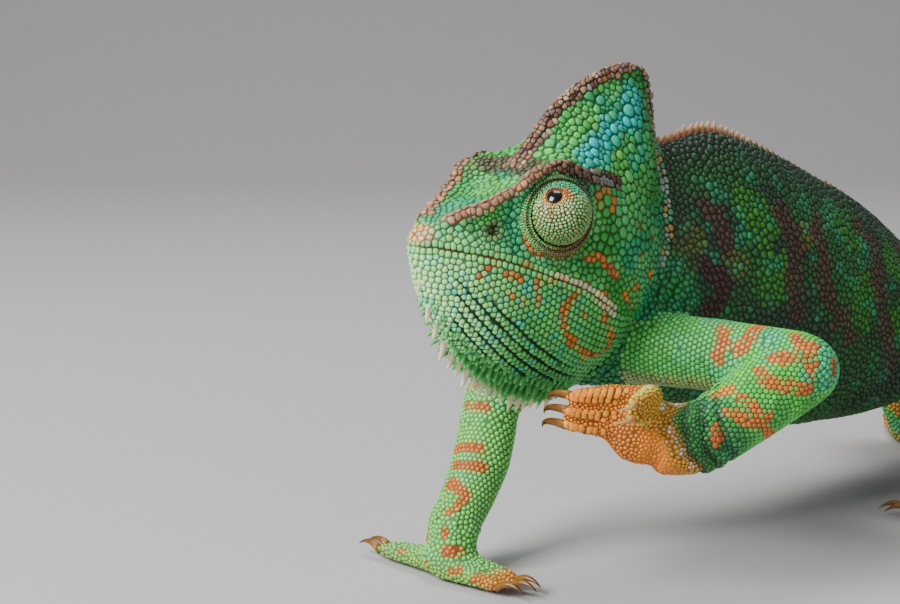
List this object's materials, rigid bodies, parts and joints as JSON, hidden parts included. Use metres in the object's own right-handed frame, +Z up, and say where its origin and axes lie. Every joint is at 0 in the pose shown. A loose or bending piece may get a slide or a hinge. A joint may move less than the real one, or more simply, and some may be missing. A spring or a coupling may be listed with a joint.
{
  "type": "chameleon",
  "caption": "Life-size still model of a veiled chameleon: tall casque, turreted eyes, deep flattened body, grasping feet and a curling tail, with the left foreleg raised.",
  "frame": {"origin": "on the floor under the middle of the bounding box", "axes": "+Z up, the head faces -Y, the animal's left side is +X"},
  "size_m": [0.0922, 0.328, 0.1103],
  "materials": {
    "head_scales": "semi-matte rounded scales",
    "casque_scales": "semi-matte large rounded scales",
    "trunk_scales": "matte fine scales",
    "leg_scales": "semi-matte granular scales",
    "palm_skin": "matte ridged skin",
    "eye_turret": "semi-matte fine beaded skin",
    "claw": "satin horn"
  },
  "bodies": {
    "root": {"skull": "head_scales", "casque": "casque_scales", "lower_jaw": "head_scales", "eye_left": "eye_turret", "eye_right": "eye_turret", "neck": "trunk_scales", "trunk_front": "trunk_scales", "trunk_rear": "trunk_scales", "tail_1": "trunk_scales", "tail_2": "trunk_scales", "tail_3": "trunk_scales", "tail_4": "trunk_scales", "tail_5": "trunk_scales", "tail_6": "trunk_scales", "tail_7": "trunk_scales", "left_upper_arm": "leg_scales", "left_forearm": "leg_scales", "left_hand": "palm_skin", "left_hand_claw_1": "claw", "left_hand_claw_2": "claw", "left_hand_claw_3": "claw", "left_hand_claw_4": "claw", "left_hand_claw_5": "claw", "right_upper_arm": "leg_scales", "right_forearm": "leg_scales", "right_hand": "leg_scales", "right_hand_claw_1": "claw", "right_hand_claw_2": "claw", "right_hand_claw_3": "claw", "right_hand_claw_4": "claw", "right_hand_claw_5": "claw", "left_thigh": "leg_scales", "left_shin": "leg_scales", "left_foot": "leg_scales", "left_foot_claw_1": "claw", "left_foot_claw_2": "claw", "left_foot_claw_3": "claw", "left_foot_claw_4": "claw", "left_foot_claw_5": "claw", "right_thigh": "leg_scales", "right_shin": "leg_scales", "right_foot": "leg_scales", "right_foot_claw_1": "claw", "right_foot_claw_2": "claw", "right_foot_claw_3": "claw", "right_foot_claw_4": "claw", "right_foot_claw_5": "claw"}
  },
  "joints": []
}
